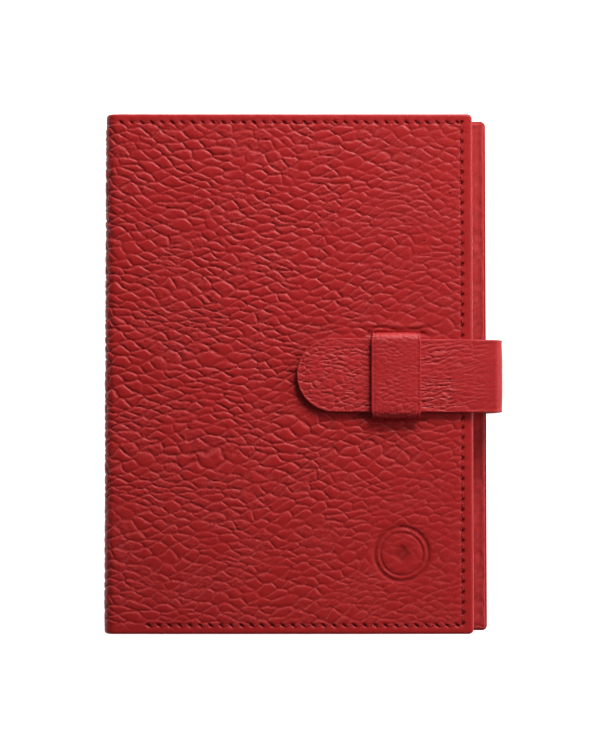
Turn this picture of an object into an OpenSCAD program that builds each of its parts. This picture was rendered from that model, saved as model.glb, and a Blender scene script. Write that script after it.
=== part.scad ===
// Passport holder, closed, lying on its back cover. Millimetres, +Z up.
// The spine is at -X, the fore edge at +X, the top of the holder at +Y.

/* [Covers] */
// Height of both covers along the spine
cover_height = 140; // [120:1:160]
// Front cover from the spine's outer face to its fore edge
front_width = 99; // [97:0.5:101]
// How far the back cover reaches past the front cover's fore edge
back_overhang = 4.7; // [2:0.1:6]
// Thickness of the closed holder without its strap
closed_thickness = 15; // [14.6:0.1:20]
// Radius of the covers' fore corners
corner_radius = 1.4; // [0.8:0.1:3]
// Outer leather thickness
leather = 1.2; // [1:0.1:1.4]
// Stiffening board thickness
board = 0.8; // [0.6:0.1:1]
// Lining leather thickness
lining = 0.8; // [0.6:0.1:1]
// Outer radius of the leather at each fold
fold_radius = 3; // [2.9:0.1:3.6]

/* [Pockets] */
// Leather thickness of the card pockets
pocket_leather = 0.6; // [0.5:0.1:0.7]
// Space under the slip pocket and under the passport pocket
pocket_space = 0.5; // [0.3:0.1:0.8]
// Width of the passport pocket
passport_pocket_width = 45; // [38:1:56]
// Height above the middle of the first card pocket's mouth
first_mouth = 40; // [30:1:50]
// Step from one card pocket's mouth to the next
mouth_step = 13; // [10:1:15]

/* [Strap and loop] */
// Strap width
strap_width = 20; // [16:0.5:22]
// How far below the covers' middle the strap and its loop sit
strap_drop = 1; // [0:0.1:3]
// Strap thickness, its leather and its backing together
strap_thickness = 1.6; // [1.4:0.1:2]
// How far the tongue's round end is from the strap's bend
strap_reach = 55.4; // [50:0.5:65]
// How far the strap's bend stands out past the back cover
strap_stand_off = 3.3; // [3.2:0.1:4]
// Outer radius of the strap's bends
strap_bend_radius = 2.5; // [2.4:0.1:2.8]
// Keeper loop width, measured along the strap
loop_width = 13.4; // [10:0.5:16]
// Distance from the front cover's fore edge to the keeper loop
loop_inset = 14.1; // [12:0.1:18]
// Keeper loop leather thickness
loop_leather = 1.1; // [0.9:0.1:1.2]

/* [Seams and emblem] */
// Distance between stitches
stitch_pitch = 2.75; // [2.5:0.05:3.5]
// Distance of the covers' top and bottom seams from their edges
seam_inset = 2.4; // [2.2:0.1:3]
// Distance of the front cover's fore seam from its fore edge
fore_seam_inset = 3; // [2.4:0.1:3.6]
// Outer radius of the pressed ring
emblem_radius = 7.8; // [6:0.1:9]

/* [Hidden] */
$fn = 48;
part_gap = 0.02;
half = cover_height / 2;
total_width = front_width + back_overhang + strap_stand_off;
spine_x = -total_width / 2;
front_x = spine_x + front_width;
back_x = front_x + back_overhang;
strap_x = back_x + strap_stand_off;
top_z = closed_thickness;
fold_x = spine_x + fold_radius;
rim = 1.2;
lining_inset = 0.6;
// levels of the back cover, from the bottom up
back_board_z = leather;
back_lining_z = leather + board;
back_inside_z = leather + board + lining;
pocket_panel = 0.8;
passport_panel_z = back_inside_z + pocket_space;
passport_top_z = passport_panel_z + pocket_panel;
// levels of the front cover, from the top down
front_leather_z = top_z - leather;
front_board_z = front_leather_z - board;
front_lining_z = front_board_z - lining;
slip_z = front_lining_z - pocket_space - pocket_leather;
upper_z = slip_z - pocket_leather;
middle_z = upper_z - pocket_leather;
lower_z = middle_z - pocket_leather;
panel_left = fold_x + 4.5;
// strap
strap_half = strap_width / 2;
strap_skin = strap_thickness / 2;
bend_inner = strap_bend_radius - strap_thickness;
bend_x = strap_x - strap_bend_radius;
lower_bend_z = back_board_z + strap_bend_radius;
tongue_z = top_z + 0.05;
upper_bend_z = tongue_z + strap_thickness - strap_bend_radius;
tip_x = strap_x - strap_reach;
anchor_x = back_x - 13.7;
// keeper loop
loop_right = front_x - loop_inset;
loop_left = loop_right - loop_width;
loop_half = strap_half + 0.4 + loop_leather;
loop_top = tongue_z + strap_thickness + 0.15 + loop_leather;
loop_tail = 7.5;
// seams
groove_depth = 0.3;
groove_width = 0.7;
stitch_length = 2;
stitch_width = 0.45;
stitch_height = 0.22;
seam_y = half - seam_inset;
front_seam_x = front_x - fore_seam_inset;
back_seam_x = front_x - 1.5;
pocket_right = front_x - 0.2;
pocket_left = pocket_right - passport_pocket_width;
// emblem
emblem_x = front_x - 19.3;
emblem_y = -half + 21.4;
emblem_depth = 0.35;

// ---------- shared shapes ----------

// square corners towards the spine, rounded corners at the fore edge
module cover_outline(left, right, tall, radius) {
  translate([left, -tall]) square([right - left - radius, 2 * tall]);
  translate([left, -tall + radius]) square([right - left, 2 * tall - 2 * radius]);
  translate([right - radius, tall - radius]) circle(r = radius);
  translate([right - radius, -tall + radius]) circle(r = radius);
}

module cover_plate(left, right, tall, radius, low, high) {
  translate([0, 0, low]) linear_extrude(height = high - low) cover_outline(left, right, tall, radius);
}

// quarter of a tube along Y, kept on the side that dir_x and dir_z point to
module quarter_tube(centre_x, centre_z, r_in, r_out, tall, dir_x, dir_z) {
  translate([centre_x, 0, centre_z])
  intersection() {
    rotate([90, 0, 0]) difference() {
      cylinder(r = r_out, h = 2 * tall, center = true);
      cylinder(r = r_in, h = 2 * tall + 2, center = true);
    }
    translate([dir_x > 0 ? part_gap : -r_out - 1, -tall - 1, dir_z > 0 ? part_gap : -r_out - 1])
      cube([r_out + 1 - part_gap, 2 * tall + 2, r_out + 1 - part_gap]);
  }
}

module row_x(from_x, to_x, y, low) {
  count = floor((to_x - from_x) / stitch_pitch);
  for (i = [0 : count - 1])
    translate([from_x + (i + 0.5) * stitch_pitch - stitch_length / 2, y - stitch_width / 2, low])
      cube([stitch_length, stitch_width, stitch_height]);
}

module row_y(x, from_y, to_y, low) {
  count = floor((to_y - from_y) / stitch_pitch);
  for (i = [0 : count - 1])
    translate([x - stitch_width / 2, from_y + (i + 0.5) * stitch_pitch - stitch_length / 2, low])
      cube([stitch_width, stitch_length, stitch_height]);
}

// channel that a seam lies in, along the top, fore and bottom edges
module seam_channel(left, right, low) {
  translate([left, seam_y - groove_width / 2, low])
    cube([right - left + groove_width / 2, groove_width, groove_depth + 1]);
  translate([left, -seam_y - groove_width / 2, low])
    cube([right - left + groove_width / 2, groove_width, groove_depth + 1]);
  translate([right - groove_width / 2, -seam_y, low])
    cube([groove_width, 2 * seam_y, groove_depth + 1]);
}

// ---------- back cover ----------

module outer_leather_back() {
  color([0.36, 0.03, 0.03])
  difference() {
    cover_plate(fold_x, back_x, half, corner_radius, 0, back_lining_z);
    cover_plate(fold_x - 1, back_x - rim, half - rim, corner_radius / 2, leather, back_lining_z + 1);
    translate([back_x - rim - 1, -strap_half - strap_drop - 0.05, leather]) cube([rim + 2, strap_width + 0.1, board + 1]);
    seam_channel(fold_x + 6, back_seam_x, -1);
  }
}

module board_back() {
  color([0.45, 0.36, 0.25])
  difference() {
    cover_plate(fold_x + 1, back_x - rim - 0.1, half - rim - 0.1, 0.5, back_board_z, back_lining_z);
    translate([anchor_x - 0.3, -strap_half - strap_drop - 0.3, back_board_z - 1]) cube([20, strap_width + 0.6, board + 2]);
  }
}

module lining_back() {
  color([0.30, 0.03, 0.03])
  cover_plate(fold_x + part_gap, back_x - lining_inset, half - lining_inset, 0.8, back_lining_z, back_inside_z);
}

// panel with its fore, top and bottom margins down on the lining
module passport_pocket() {
  color([0.33, 0.03, 0.03])
  difference() {
    cover_plate(pocket_left, pocket_right, half - 0.9, 0.8, back_inside_z, passport_top_z);
    translate([pocket_left - 1, -half + 4.5, back_inside_z - 1])
      cube([passport_pocket_width - 3, 2 * half - 9, pocket_space + 1]);
    translate([pocket_left - 4, 0, back_inside_z - 1]) cylinder(r = 13, h = 5);
  }
}

module strap_anchor() {
  color([0.36, 0.03, 0.03])
  translate([anchor_x, -strap_half - strap_drop, back_board_z]) cube([bend_x - part_gap - anchor_x, strap_width, strap_skin]);
}

module back_needle_thread() {
  color([0.36, 0.03, 0.04]) {
    row_x(fold_x + 6.5, back_seam_x - 0.5, seam_y, 0.06);
    row_x(fold_x + 6.5, back_seam_x - 0.5, -seam_y, 0.06);
    row_y(back_seam_x, -seam_y + 0.5, seam_y - 0.5, 0.06);
  }
}

module back_bobbin_thread() {
  color([0.36, 0.03, 0.04]) {
    row_x(fold_x + 6.5, pocket_left - 0.3, seam_y, back_inside_z);
    row_x(fold_x + 6.5, pocket_left - 0.3, -seam_y, back_inside_z);
    row_x(pocket_left + 0.6, back_seam_x - 0.5, seam_y, passport_top_z);
    row_x(pocket_left + 0.6, back_seam_x - 0.5, -seam_y, passport_top_z);
    row_y(back_seam_x, -seam_y + 0.5, seam_y - 0.5, passport_top_z);
  }
}

// ---------- spine ----------

module outer_leather_spine() {
  color([0.36, 0.03, 0.03])
  translate([spine_x, -half, fold_radius]) cube([leather, 2 * half, top_z - 2 * fold_radius]);
}

module back_fold() {
  color([0.34, 0.03, 0.03])
  quarter_tube(fold_x, fold_radius, fold_radius - leather, fold_radius, half, -1, -1);
}

module front_fold() {
  color([0.34, 0.03, 0.03])
  quarter_tube(fold_x, top_z - fold_radius, fold_radius - leather, fold_radius, half, -1, 1);
}

module board_spine() {
  color([0.45, 0.36, 0.25])
  translate([spine_x + leather, -half + rim, fold_radius + 0.6])
    cube([board, 2 * half - 2 * rim, top_z - 2 * fold_radius - 1.2]);
}

// flat strip with a quarter turn at each end
module lining_spine() {
  outside = fold_radius - leather - board;
  tall = half - lining_inset;
  color([0.30, 0.03, 0.03]) {
    translate([fold_x - outside, -tall, fold_radius - 0.03])
      cube([lining, 2 * tall, top_z - 2 * fold_radius + 0.06]);
    quarter_tube(fold_x, fold_radius, outside - lining, outside, tall, -1, -1);
    quarter_tube(fold_x, top_z - fold_radius, outside - lining, outside, tall, -1, 1);
  }
}

// ---------- front cover ----------

module outer_leather_front() {
  slot_y = strap_half + 0.35;
  slot_tall = loop_half + 0.05 - slot_y;
  color([0.36, 0.03, 0.03])
  difference() {
    cover_plate(fold_x, front_x, half, corner_radius, front_board_z, top_z);
    cover_plate(fold_x - 1, front_x - rim, half - rim, corner_radius / 2, front_board_z - 1, front_leather_z);
    seam_channel(fold_x + 1, front_seam_x, top_z - groove_depth);
    translate([loop_left - 0.05, slot_y - strap_drop, front_leather_z - 1]) cube([loop_width + 0.1, slot_tall, leather + 2]);
    translate([loop_left - 0.05, -slot_y - slot_tall - strap_drop, front_leather_z - 1])
      cube([loop_width + 0.1, slot_tall, leather + 2]);
    translate([emblem_x, emblem_y, top_z - emblem_depth]) emblem();
  }
}

// plain pressed ring round a small diamond
module emblem() {
  difference() {
    cylinder(r = emblem_radius, h = 1);
    translate([0, 0, -1]) cylinder(r = emblem_radius - 0.9, h = 3);
  }
  difference() {
    cylinder(r = emblem_radius - 1.8, h = 1);
    translate([0, 0, -1]) cylinder(r = emblem_radius - 2.2, h = 3);
  }
  rotate([0, 0, 45]) translate([-1.9, -1.9, 0]) cube([3.8, 3.8, 1]);
}

module board_front() {
  color([0.45, 0.36, 0.25])
  difference() {
    cover_plate(fold_x + 1, front_x - rim - 0.1, half - rim - 0.1, 0.5, front_board_z, front_leather_z);
    translate([loop_left - 0.4, strap_half - strap_drop - 0.2, front_board_z - 1])
      cube([loop_width + 0.8, loop_tail + 2.4, board + 2]);
    translate([loop_left - 0.4, -strap_half - strap_drop - loop_tail - 2.2, front_board_z - 1])
      cube([loop_width + 0.8, loop_tail + 2.4, board + 2]);
  }
}

module lining_front() {
  color([0.30, 0.03, 0.03])
  cover_plate(fold_x + part_gap, front_x - lining_inset, half - lining_inset, 0.8, front_lining_z, front_board_z);
}

// panel with its fore, top and bottom margins up against the lining
module slip_pocket() {
  color([0.32, 0.03, 0.03])
  difference() {
    cover_plate(panel_left, front_x - 0.9, half - 0.9, 0.8, slip_z, front_lining_z);
    translate([panel_left - 1, -half + 4.5, slip_z + pocket_leather])
      cube([front_x - 5 - panel_left + 1, 2 * half - 9, pocket_space + 1]);
  }
}

module card_pocket(mouth, low) {
  translate([panel_left, -half + 1.2, low]) cube([front_x - 1.2 - panel_left, mouth + half - 1.2, pocket_leather]);
}

module card_pocket_upper() {
  color([0.35, 0.03, 0.03]) card_pocket(first_mouth, upper_z);
}

module card_pocket_middle() {
  color([0.35, 0.03, 0.03]) card_pocket(first_mouth - mouth_step, middle_z);
}

module card_pocket_lower() {
  color([0.35, 0.03, 0.03]) card_pocket(first_mouth - 2 * mouth_step, lower_z);
}

// short seam that closes the card pockets beside the spine
module card_pocket_thread() {
  x = panel_left + 1.6;
  color([0.36, 0.03, 0.04]) {
    row_y(x, first_mouth - mouth_step + 0.4, first_mouth - 0.4, upper_z - stitch_height);
    row_y(x, first_mouth - 2 * mouth_step + 0.4, first_mouth - mouth_step - 0.4, middle_z - stitch_height);
    row_y(x, -seam_y + 1, first_mouth - 2 * mouth_step - 0.4, lower_z - stitch_height);
  }
}

module front_needle_thread() {
  low = top_z - 0.28;
  color([0.36, 0.03, 0.04]) {
    row_x(fold_x + 1.2, front_seam_x - 0.5, seam_y, low);
    row_x(fold_x + 9, front_seam_x - 0.5, -seam_y, low);
    row_y(front_seam_x, -seam_y + 0.5, seam_y - 0.5, low);
  }
}

module front_bobbin_thread() {
  mouth2 = first_mouth - mouth_step;
  mouth3 = first_mouth - 2 * mouth_step;
  color([0.36, 0.03, 0.04]) {
    row_x(panel_left + 0.6, front_seam_x - 0.5, seam_y, slip_z - stitch_height);
    row_x(panel_left + 3, front_seam_x - 0.5, -seam_y, lower_z - stitch_height);
    row_y(front_seam_x, first_mouth + 0.4, seam_y - 0.5, slip_z - stitch_height);
    row_y(front_seam_x, mouth2 + 0.4, first_mouth - 0.4, upper_z - stitch_height);
    row_y(front_seam_x, mouth3 + 0.4, mouth2 - 0.4, middle_z - stitch_height);
    row_y(front_seam_x, -seam_y + 1, mouth3 - 0.4, lower_z - stitch_height);
  }
}

// arch over the strap, with a leg and a tail at each end
module loop_outline() {
  r_out = 1.7;
  r_in = r_out - loop_leather;
  inner = loop_half - loop_leather;
  difference() {
    union() {
      translate([-loop_half, front_board_z]) square([2 * loop_half, loop_top - r_out - front_board_z]);
      translate([-loop_half + r_out, loop_top - r_out - 1]) square([2 * loop_half - 2 * r_out, r_out + 1]);
      translate([loop_half - r_out, loop_top - r_out]) circle(r = r_out);
      translate([-loop_half + r_out, loop_top - r_out]) circle(r = r_out);
      translate([-loop_half - loop_tail, front_board_z]) square([2 * loop_half + 2 * loop_tail, board]);
    }
    translate([-inner, front_board_z - 1]) square([2 * inner, loop_top - r_out - front_board_z + 1]);
    translate([-inner + r_in, loop_top - r_out - 1]) square([2 * inner - 2 * r_in, r_in + 1]);
    translate([inner - r_in, loop_top - r_out]) circle(r = r_in);
    translate([-inner + r_in, loop_top - r_out]) circle(r = r_in);
  }
}

module keeper_loop() {
  color([0.38, 0.04, 0.04])
  translate([loop_left, -strap_drop, 0]) rotate([90, 0, 90]) linear_extrude(height = loop_width) loop_outline();
}

// ---------- strap ----------

module strap_lower_bend() {
  color([0.36, 0.03, 0.03])
  translate([0, -strap_drop, 0]) quarter_tube(bend_x, lower_bend_z, bend_inner, strap_bend_radius, strap_half, 1, -1);
}

module strap_side() {
  color([0.36, 0.03, 0.03])
  translate([strap_x - strap_skin, -strap_half - strap_drop, lower_bend_z])
    cube([strap_skin, strap_width, upper_bend_z - lower_bend_z]);
}

module strap_side_backing() {
  color([0.30, 0.03, 0.03])
  translate([strap_x - strap_thickness, -strap_half - strap_drop + 0.2, lower_bend_z])
    cube([strap_skin, strap_width - 0.4, upper_bend_z - lower_bend_z]);
}

module strap_upper_bend() {
  color([0.36, 0.03, 0.03])
  translate([0, -strap_drop, 0]) quarter_tube(bend_x, upper_bend_z, bend_inner, strap_bend_radius, strap_half, 1, 1);
}

// straight sides and a half round end
module tongue_outline(margin) {
  round = strap_half - margin;
  translate([tip_x + strap_half, -round]) square([bend_x - tip_x - strap_half, 2 * round]);
  translate([tip_x + strap_half, 0]) circle(r = round, $fn = 96);
}

module strap_tongue() {
  color([0.37, 0.04, 0.04])
  translate([0, -strap_drop, tongue_z + strap_skin]) linear_extrude(height = strap_skin) tongue_outline(0);
}

module strap_tongue_backing() {
  color([0.30, 0.03, 0.03])
  translate([0, -strap_drop, tongue_z]) linear_extrude(height = strap_skin) tongue_outline(0.2);
}

outer_leather_back();
board_back();
lining_back();
passport_pocket();
strap_anchor();
back_needle_thread();
back_bobbin_thread();
outer_leather_spine();
back_fold();
front_fold();
board_spine();
lining_spine();
outer_leather_front();
board_front();
lining_front();
slip_pocket();
card_pocket_upper();
card_pocket_middle();
card_pocket_lower();
card_pocket_thread();
keeper_loop();
front_needle_thread();
front_bobbin_thread();
strap_lower_bend();
strap_side();
strap_side_backing();
strap_upper_bend();
strap_tongue();
strap_tongue_backing();
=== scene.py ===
"""Passport holder: leather, threads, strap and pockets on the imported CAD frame.

Lengths are in millimetres until a mesh is made.
"""
import math

import bpy
import numpy as np
from mathutils import Matrix, Vector


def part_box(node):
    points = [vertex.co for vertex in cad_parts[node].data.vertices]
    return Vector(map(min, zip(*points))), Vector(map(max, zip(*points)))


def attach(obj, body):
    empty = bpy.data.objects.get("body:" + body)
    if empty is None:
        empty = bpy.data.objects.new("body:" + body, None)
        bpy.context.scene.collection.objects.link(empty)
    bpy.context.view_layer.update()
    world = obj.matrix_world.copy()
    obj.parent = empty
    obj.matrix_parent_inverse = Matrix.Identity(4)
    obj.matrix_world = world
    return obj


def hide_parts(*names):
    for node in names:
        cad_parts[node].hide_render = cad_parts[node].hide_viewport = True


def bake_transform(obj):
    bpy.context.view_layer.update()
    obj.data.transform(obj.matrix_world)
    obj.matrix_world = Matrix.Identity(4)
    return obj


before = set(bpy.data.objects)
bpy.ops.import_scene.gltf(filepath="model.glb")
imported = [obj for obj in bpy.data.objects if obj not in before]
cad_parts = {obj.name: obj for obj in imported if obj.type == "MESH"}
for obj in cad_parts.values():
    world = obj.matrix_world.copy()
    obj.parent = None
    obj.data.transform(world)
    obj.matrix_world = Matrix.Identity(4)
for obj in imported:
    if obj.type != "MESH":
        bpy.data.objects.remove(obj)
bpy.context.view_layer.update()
MM = 0.001

# ---------------------------------------------------------------- sizes from the CAD nodes


def limits(node):
    low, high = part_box(node)
    return np.array(low) / MM, np.array(high) / MM


front_low, front_high = limits("outer_leather_front")
back_low, back_high = limits("outer_leather_back")
spine_low, spine_high = limits("outer_leather_spine")
loop_low, loop_high = limits("keeper_loop")
tongue_low, tongue_high = limits("strap_tongue")
side_low, side_high = limits("strap_side")
anchor_low, anchor_high = limits("strap_anchor")
pocket_low, pocket_high = limits("passport_pocket")
slip_low, slip_high = limits("slip_pocket")

TOP = front_high[2]
HALF = front_high[1]
SPINE_X = spine_low[0]
FOLD_R = spine_low[2]
FOLD_X = SPINE_X + FOLD_R
FRONT_X = front_high[0]
BACK_X = back_high[0]
LEATHER = spine_high[0] - spine_low[0]
LINING_TOP = limits("lining_back")[1][2]
LINING_LOW = limits("lining_back")[0][2]
STRAP_X = side_high[0]
STRAP_HALF = (tongue_high[1] - tongue_low[1]) / 2
STRAP_Y = (tongue_high[1] + tongue_low[1]) / 2
STRAP_TOP = tongue_high[2]
STRAP_LOW = limits("strap_tongue_backing")[0][2]
TIP_X = tongue_low[0]
BEND_R = STRAP_X - tongue_high[0]
LOOP_L, LOOP_R = loop_low[0], loop_high[0]
LOOP_TOP = loop_high[2]
LOOP_HALF = STRAP_HALF + 1.5
SEAM_Y = HALF - 2.4
FRONT_SEAM_X = FRONT_X - 3.0
BACK_SEAM_X = FRONT_X - 1.5
EMBLEM = (FRONT_X - 19.3, -HALF + 21.4)
PITCH = 2.75  # between stitches
PEBBLE_WIDE, PEBBLE_TALL = 6.6, 3.15
PINCH, PUFF = 0.35, 0.14  # how far a pocket is drawn in at its seams, and stands off elsewhere

# ---------------------------------------------------------------- seeded noise


def rand(i, j, k):
    """Repeatable random numbers from 0 to 1 for whole numbers i, j, k."""
    n = (i.astype(np.int64) * 374761393 + j.astype(np.int64) * 668265263 + int(k) * 1442695041) & 0xFFFFFFFF
    n = ((n ^ (n >> 13)) * 1274126177) & 0xFFFFFFFF
    n = ((n ^ (n >> 16)) * 668265263) & 0xFFFFFFFF
    return ((n ^ (n >> 15)) & 0xFFFFFF) / float(0x1000000)


def noise(x, y, seed):
    """Smooth noise from -1 to 1, one feature per unit."""
    i, j = np.floor(x), np.floor(y)
    fx, fy = x - i, y - j
    fx, fy = fx * fx * fx * (fx * (6 * fx - 15) + 10), fy * fy * fy * (fy * (6 * fy - 15) + 10)
    a, b = rand(i, j, seed), rand(i + 1, j, seed)
    c, d = rand(i, j + 1, seed), rand(i + 1, j + 1, seed)
    return 2 * ((a + (b - a) * fx) * (1 - fy) + (c + (d - c) * fx) * fy) - 1


def fbm(x, y, seed, octaves=3):
    total, amount = 0, 1.0
    for k in range(octaves):
        total = total + amount * noise(x * 2**k + 17 * k, y * 2**k - 9 * k, seed + k)
        amount *= 0.5
    return total / (2 - 0.5 ** (octaves - 1))


def step(low, high, x):
    t = np.clip((x - low) / (high - low), 0, 1)
    return t * t * (3 - 2 * t)


def cells(x, y, wide, tall, seed, jitter=0.42):
    """Lens-shaped cells, wide by tall mm. Gives the distance to the nearest border in mm, a random number for the cell,
    how far that border faces up (1) or down (-1), and the height within the cell from -0.5 to 0.5."""
    u, v = x / wide, y / tall
    iu, iv = np.floor(2 * u), np.floor(v)
    near = np.full(u.shape, 1e9)
    bx, by, who = np.zeros_like(u), np.zeros_like(u), np.zeros_like(u)
    seeds = []
    for dj in range(-2, 3):
        for di in range(-3, 4):
            ci, cj = iu + di, iv + dj
            cx = 0.5 * ci + 0.25 + jitter * (rand(ci, cj, seed) - 0.5)
            cy = cj + 0.25 + 0.5 * np.mod(ci, 2) + jitter * (rand(ci, cj, seed + 1) - 0.5)
            seeds.append((cx, cy))
            d = (cx - u) ** 2 + (cy - v) ** 2
            hit = d < near
            near = np.where(hit, d, near)
            bx, by = np.where(hit, cx, bx), np.where(hit, cy, by)
            who = np.where(hit, rand(ci, cj, seed + 2), who)
    edge, facing = np.full(u.shape, 1e9), np.zeros_like(u)
    for cx, cy in seeds:
        dx, dy = cx - bx, cy - by
        size = np.hypot(dx / wide, dy / tall)
        far = size > 1e-6
        size = np.where(far, size, 1)
        e = (((cx + bx) / 2 - u) * dx + ((cy + by) / 2 - v) * dy) / size
        closer = far & (e < edge)
        edge = np.where(closer, e, edge)
        facing = np.where(closer, dy / tall / size, facing)
    return np.maximum(edge, 0), who, facing, np.clip(v - by, -0.5, 0.5)


# ---------------------------------------------------------------- leather grain, as a function of the flat hide


def pebble(x, y, seed=11):
    """Height in mm of large pebbled grain on the flat hide, then a painted highlight for its crests and its grooves, 0
    to 1.

    The painted highlight lies only beside borders that face +Y, the side the light comes from.
    """
    wx = x + 1.7 * noise(x / 10, y / 8, seed + 20) + 0.55 * noise(x / 2.8, y / 2.3, seed + 21)
    wy = y + 1.5 * noise(x / 12, y / 9, seed + 22) + 0.42 * noise(x / 2.6, y / 2.2, seed + 23)
    wy = wy + 0.10 * noise(x / 0.9, y / 0.8, seed + 24)
    upper_left = step(-25, 40, y) * (1 - step(-25, 35, x))
    lower = 1 - step(-60, -5, y)
    gentle = 1 - step(-90, 15, y)
    low_left = gentle * 30 * (1 - np.exp(-np.maximum(x + 52, 0) / 30))
    wy = wy + 0.20 * upper_left * (wx + 52) - 0.07 * lower * (wx - 5) + 0.26 * low_left
    right = step(-10, 45, x)
    closer_x, closer_y = 1 + 0.10 * right + 0.08 * gentle, 1 + 0.08 * right + 0.08 * gentle
    edge, who, facing, high = cells(wx * closer_x, wy * closer_y, PEBBLE_WIDE, PEBBLE_TALL, seed)
    small, _, up_small, _ = cells(wx + 7.3, wy + 3.1, 2.9, 1.35, seed + 5, 0.5)
    partial = step(-0.25, 0.45, noise(x / 6, y / 5, seed + 30))
    deep = 0.35 + 0.65 * step(-0.6, 0.3, noise(x / 3.6, y / 3.0, seed + 33))
    groove = np.exp(-((edge / 0.24) ** 1.5)) * deep
    fine = np.exp(-((small / 0.17) ** 1.5)) * partial
    dome = 1 - np.exp(-edge / 0.36)
    height = 0.15 * dome - 0.17 * groove - 0.075 * fine + 0.10 * high * step(0, 0.5, edge) + 0.05 * (who - 0.5)
    height = height + 0.024 * noise(x / 0.75, y / 0.65, seed + 31) + 0.03 * noise(x / 1.7, y / 1.3, seed + 32)
    gain = 1.28 - 0.44 * lower - 0.34 * right
    # Painted highlight: pale colour beside the cell borders that face +Y, the side the light comes from.
    painted_highlight = 1.2 * np.exp(-(((edge - 0.27) / 0.16) ** 2)) * step(-0.1, 0.7, facing) * deep
    painted_highlight = painted_highlight + 0.45 * np.exp(-(((small - 0.2) / 0.14) ** 2)) * step(0, 0.7, up_small) * partial
    # These grooves get the deeper colour later as painted shade.
    groove = (1 - 0.35 * lower) * (groove + 0.4 * fine)
    return gain * height, np.clip((gain + 0.55 * lower) * painted_highlight, 0, 1), np.clip(groove, 0, 1)


def fine_grain(x, y, seed, wide=3.0, tall=1.15):
    """Height of the finer, flatter grain of the strap and the linings, then a painted highlight for its crests and its
    grooves.

    The painted highlight lies only beside borders that face +Y, the side the light comes from.
    """
    wx = x + 0.8 * noise(x / 5, y / 4, seed + 1) + 0.3 * noise(x / 1.7, y / 1.4, seed + 2)
    wy = y + 0.7 * noise(x / 6, y / 4, seed + 3) + 0.28 * noise(x / 1.6, y / 1.2, seed + 4)
    edge, who, facing, high = cells(wx, wy, wide, tall, seed, 0.55)
    shown = 0.25 + 0.75 * step(-0.5, 0.3, noise(x / 3.2, y / 2.2, seed + 6))
    groove = np.exp(-((edge / 0.17) ** 1.5)) * shown
    # Painted highlight: pale colour beside the borders that face +Y, the side the light comes from.
    painted_highlight = np.exp(-(((edge - 0.22) / 0.13) ** 2)) * step(-0.1, 0.7, facing) * shown
    height = 0.06 * (1 - np.exp(-edge / 0.25)) - 0.095 * groove + 0.10 * high * shown + 0.03 * (who - 0.5)
    return height + 0.025 * noise(x / 0.8, y / 0.6, seed + 7), painted_highlight, groove


# ---------------------------------------------------------------- mesh making


def make(name, points, faces, material, uv=None, values=None, sharp=70):
    """A mesh object from points in mm. values are numbers per point that the material reads."""
    mesh = bpy.data.meshes.new(name)
    mesh.from_pydata([], [], [])
    points = np.asarray(points, float) * MM
    sizes = np.array([len(f) for f in faces], np.int32)
    loops = np.fromiter((i for f in faces for i in f), np.int32, int(sizes.sum()))
    mesh.vertices.add(len(points))
    mesh.vertices.foreach_set("co", points.ravel().astype(np.float32))
    mesh.loops.add(len(loops))
    mesh.loops.foreach_set("vertex_index", loops)
    mesh.polygons.add(len(sizes))
    starts = np.concatenate([[0], np.cumsum(sizes)[:-1]]).astype(np.int32)
    mesh.polygons.foreach_set("loop_start", starts)
    mesh.polygons.foreach_set("loop_total", sizes)
    mesh.update(calc_edges=True)
    mesh.validate()
    if uv is not None:
        layer = mesh.uv_layers.new(name="hide")
        used = np.zeros(len(mesh.loops), np.int32)
        mesh.loops.foreach_get("vertex_index", used)
        layer.data.foreach_set("uv", (np.asarray(uv, float)[used] * 0.1).ravel().astype(np.float32))
    for key, value in (values or {}).items():
        attribute = mesh.attributes.new(key, "FLOAT", "POINT")
        attribute.data.foreach_set("value", np.asarray(value, np.float32))
    mesh.polygons.foreach_set("use_smooth", np.ones(len(mesh.polygons), bool))
    mesh.set_sharp_from_angle(angle=math.radians(sharp))
    mesh.materials.append(material)
    obj = bpy.data.objects.new(name, mesh)
    bpy.context.scene.collection.objects.link(obj)
    return obj


def thinned(obj, most, free):
    """Fewer triangles where the surface is plain, so that the creases keep theirs.

    Only the points in free are thinned.
    """
    triangles = sum(len(p.vertices) - 2 for p in obj.data.polygons)
    if triangles > most:
        obj.vertex_groups.new(name="free").add(np.flatnonzero(free).tolist(), 1.0, "REPLACE")
        modifier = obj.modifiers.new("thin", "DECIMATE")
        modifier.vertex_group = "free"
        modifier.ratio = most / triangles
        modifier.use_collapse_triangulate = True
        done = bpy.data.meshes.new_from_object(obj.evaluated_get(bpy.context.evaluated_depsgraph_get()))
        obj.modifiers.clear()
        old, obj.data = obj.data, done
        bpy.data.meshes.remove(old)
        obj.data.name = obj.name
        obj.vertex_groups.clear()
    return obj


def grid_lines(start, end, spacing, fine=(), fine_spacing=0.2, reach=1.1):
    """Numbers from start to end, closer together around each number in fine."""
    at = [start]
    while at[-1] < end - 1e-9:
        x = at[-1]
        close = any(abs(x - f) < reach for f in fine)
        jump = fine_spacing if close else spacing
        if not close:
            for f in fine:
                if x < f - reach < x + jump:
                    jump = f - reach - x + 1e-6
        at.append(min(end, x + max(jump, 1e-3)))
    if len(at) > 2 and at[-1] - at[-2] < 0.3 * spacing:
        at.pop(-2)
    return np.array(at)


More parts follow.
